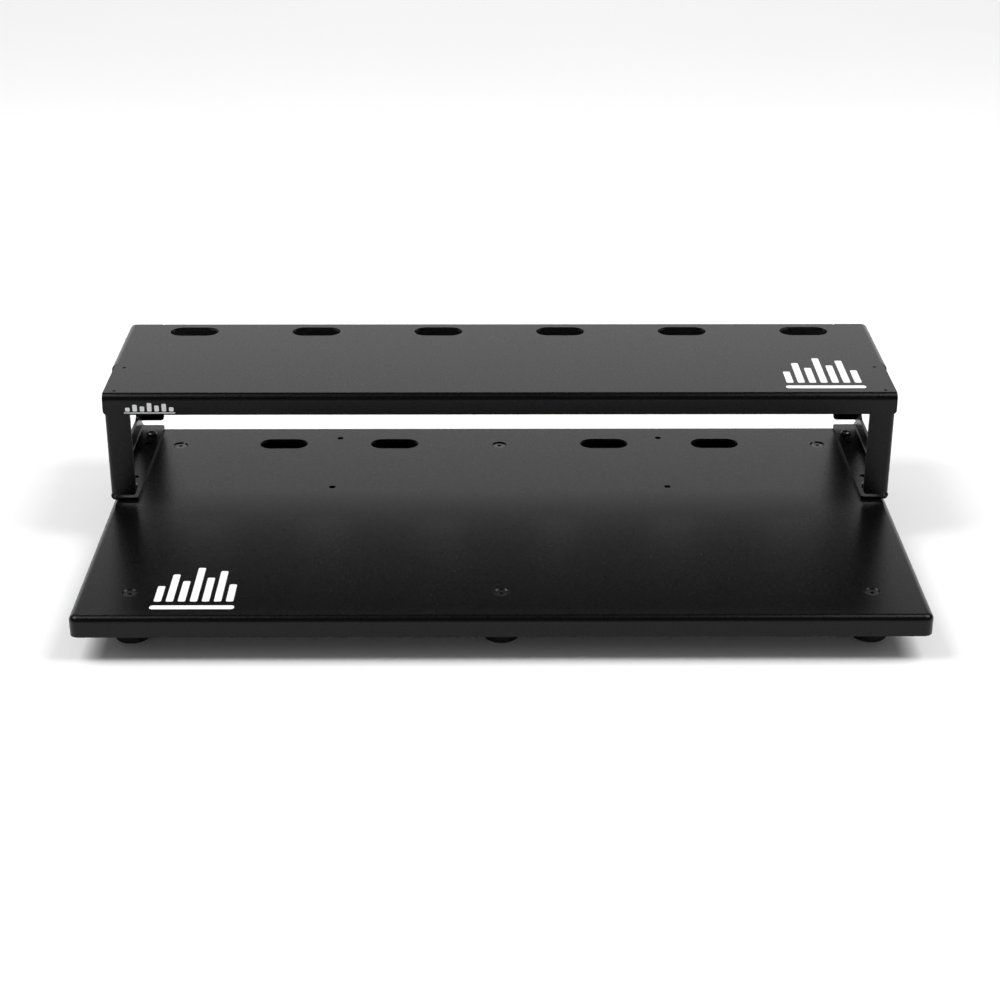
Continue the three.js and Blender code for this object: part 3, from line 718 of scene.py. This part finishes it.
def show_feet():
    foot, screw, nut = foot_mesh(), foot_screw_mesh(), nut_mesh()
    washer_node = "foot_washer_front_left"
    washer = ring_mesh(washer_node, BOLT_HOLE_R, size_of(washer_node).x)
    for place in FEET:
        for kind, mesh, from_top in (
            ("foot", foot, False), ("foot_screw", screw, True),
            ("foot_washer", washer, False), ("foot_nut", nut, False),
        ):
            node = f"{kind}_{place}"
            low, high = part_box(node)
            centre = (low + high) / 2
            show(mesh, node, (centre.x, centre.y, high.z if from_top else low.z))
    return nut


def show_brackets(nut):
    low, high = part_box("bracket_screw_right_front")
    head_low = BRACKET_LOW.z + SHEET + GAP
    screw = button_screw_mesh((high.x - low.x) / 2, high.z - head_low, head_low - low.z)
    washer_node = "bracket_washer_right_front"
    washer = ring_mesh(washer_node, BOLT_HOLE_R, size_of(washer_node).x)
    for hand, side in SIDES.items():
        show(bracket_mesh(side), f"bracket_{hand}")
        for end in ("front", "rear"):
            for kind, mesh in (("screw", screw), ("washer", washer), ("nut", nut)):
                node = f"bracket_{kind}_{hand}_{end}"
                low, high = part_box(node)
                centre = (low + high) / 2
                show(mesh, node, (centre.x, centre.y, head_low if kind == "screw" else low.z))


def show_pivots(nut):
    bolt_low, bolt_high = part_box("pivot_bolt_right")
    head_height = 2.3 * MM
    shank = bolt_high.x - bolt_low.x - head_height
    bolt = button_screw_mesh((bolt_high.y - bolt_low.y) / 2, head_height, shank)
    spacer = ring_mesh("pivot_spacer_right", BOLT_HOLE_R, size_of("pivot_spacer_right").y)
    for hand, side in SIDES.items():
        turn = (0, side * math.pi / 2, 0)
        for kind, mesh in (("bolt", bolt), ("spacer", spacer), ("nut", nut)):
            node = f"pivot_{kind}_{hand}"
            low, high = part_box(node)
            centre = (low + high) / 2
            near, far = (low.x, high.x) if side > 0 else (high.x, low.x)
            start = far - side * head_height if kind == "bolt" else near
            show(mesh, node, (start, centre.y, centre.z), turn)


def show_riser():
    show(deck_mesh(), "riser_deck")
    bumper = bumper_mesh()
    for hand in SIDES:
        for place in ("front", "middle"):
            node = f"bumper_{hand}_{place}"
            low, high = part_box(node)
            show(bumper, node, ((low.x + high.x) / 2, (low.y + high.y) / 2, low.z))


# ---- printed marks: level bars of stepped heights, with a line beneath ----

INK = print_ink("print_ink_white")
INK_THICK = 0.04 * MM
INK_LIFT = 0.02 * MM
BAR_STEPS = (0.45, 0.8, 0.6, 1.0, 0.7, 0.9, 0.5)
BAR_SHARE = 0.62  # of the pitch between bars
LINE_SHARE = 0.09  # of the mark's height, for the line and the gap above it


def mark(name, body, width, height, centre, turn=(0, 0, 0)):
    """A generic level-meter mark, printed on a flat face."""
    line = height * LINE_SHARE
    pitch = width / len(BAR_STEPS)
    bar = pitch * BAR_SHARE
    right, bottom = width / 2, -height / 2
    outlines = [rounded(-right, bottom, right, bottom + line, [line * 0.4] * 4, 6)]
    floor = bottom + line + line
    for i, step in enumerate(BAR_STEPS):
        left = -right + (i + 0.5) * pitch - bar / 2
        top = floor + (height / 2 - floor) * step
        outlines.append(rounded(left, floor, left + bar, top, [bar * 0.25] * 4, 6))
    mesh = bmesh.new()
    for outline in outlines:
        part = prism(outline, "Z", 0, INK_THICK)
        mesh.from_mesh(part.data)
        bpy.data.objects.remove(part)
    piece = to_object(mesh, name)
    piece.data.materials.append(INK)
    piece.location = centre
    piece.rotation_euler = turn
    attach(piece, body)
    return piece


def show_marks():
    from_front = 60 * MM
    deck_place = (337.5 * MM, DECK_LOW.y + from_front, DECK_HIGH.z + INK_LIFT)
    tray_place = (-292.5 * MM, TRAY_LOW.y + from_front, TRAY_HIGH.z + INK_LIFT)
    lip_place = (-360.5 * MM, DECK_LOW.y - INK_LIFT, DECK_LOW.z + 7.5 * MM)
    mark("print_deck_top", "riser", 83 * MM, 86 * MM, deck_place)
    mark("print_tray_top", "base", 80 * MM, 86 * MM, tray_place)
    mark("print_deck_lip", "riser", 52.5 * MM, 11.5 * MM, lip_place, (math.pi / 2, 0, 0))


# ---- stage ----


def make_floor():
    bpy.ops.mesh.primitive_plane_add(size=30, location=(0, 0, 0))
    floor = bpy.context.active_object
    floor.name = "studio_floor"
    paper = Finish("floor_paper", (0.9, 0.9, 0.9), 0.9, specular=0.1).mottled(0.4, 0.01)
    floor.data.materials.append(paper.material)


def softbox(name, location, target, size, power):
    """A rectangular light of (width, height), turned to face a target."""
    light = bpy.data.lights.new(name, "AREA")
    light.shape = "RECTANGLE"
    light.size, light.size_y = size
    light.energy = power
    lamp = bpy.data.objects.new(name, light)
    bpy.context.scene.collection.objects.link(lamp)
    lamp.location = location
    aim = Vector(target) - Vector(location)
    lamp.rotation_euler = aim.to_track_quat("-Z", "Y").to_euler()
    return lamp


def make_lights():
    world = bpy.data.worlds.new("studio")
    world.use_nodes = True
    background = world.node_tree.nodes["Background"]
    background.inputs["Color"].default_value = (1, 1, 1, 1)
    background.inputs["Strength"].default_value = 0.3
    bpy.context.scene.world = world
    world.cycles_visibility.glossy = False  # the world only fills the shadows
    distance, height, wide = 4.2, 2.24, 10.0
    for name, end, power in (("rear_softbox", 1, 93), ("front_fill", -1, 11)):
        place = (0, end * distance, height / 2)
        softbox(name, place, (0, 0, height / 2), (wide, height), power)
    for name, side in SIDES.items():
        softbox(f"top_softbox_{name}", (side * 2.1, -0.2, 3.0), (0, 0, 0), (1.8, 2.2), 90)


def make_camera():
    """A long lens in front, looking a little down on the board."""
    data = bpy.data.cameras.new("camera")
    data.sensor_width = 36
    data.lens = 72.68
    data.clip_end = 100
    camera = bpy.data.objects.new("camera", data)
    bpy.context.scene.collection.objects.link(camera)
    camera.location = (-0.0130, -1.9017, 0.9429)
    camera.rotation_euler = (math.radians(90 - 24.96), math.radians(-0.075), math.radians(-0.349))
    bpy.context.scene.camera = camera


make_camera()
show(tray_mesh(), "base_tray")
shared_nut = show_feet()
show_brackets(shared_nut)
show_pivots(shared_nut)
show_riser()
show_marks()
make_floor()
make_lights()
bpy.context.scene.view_settings.view_transform = "Standard"
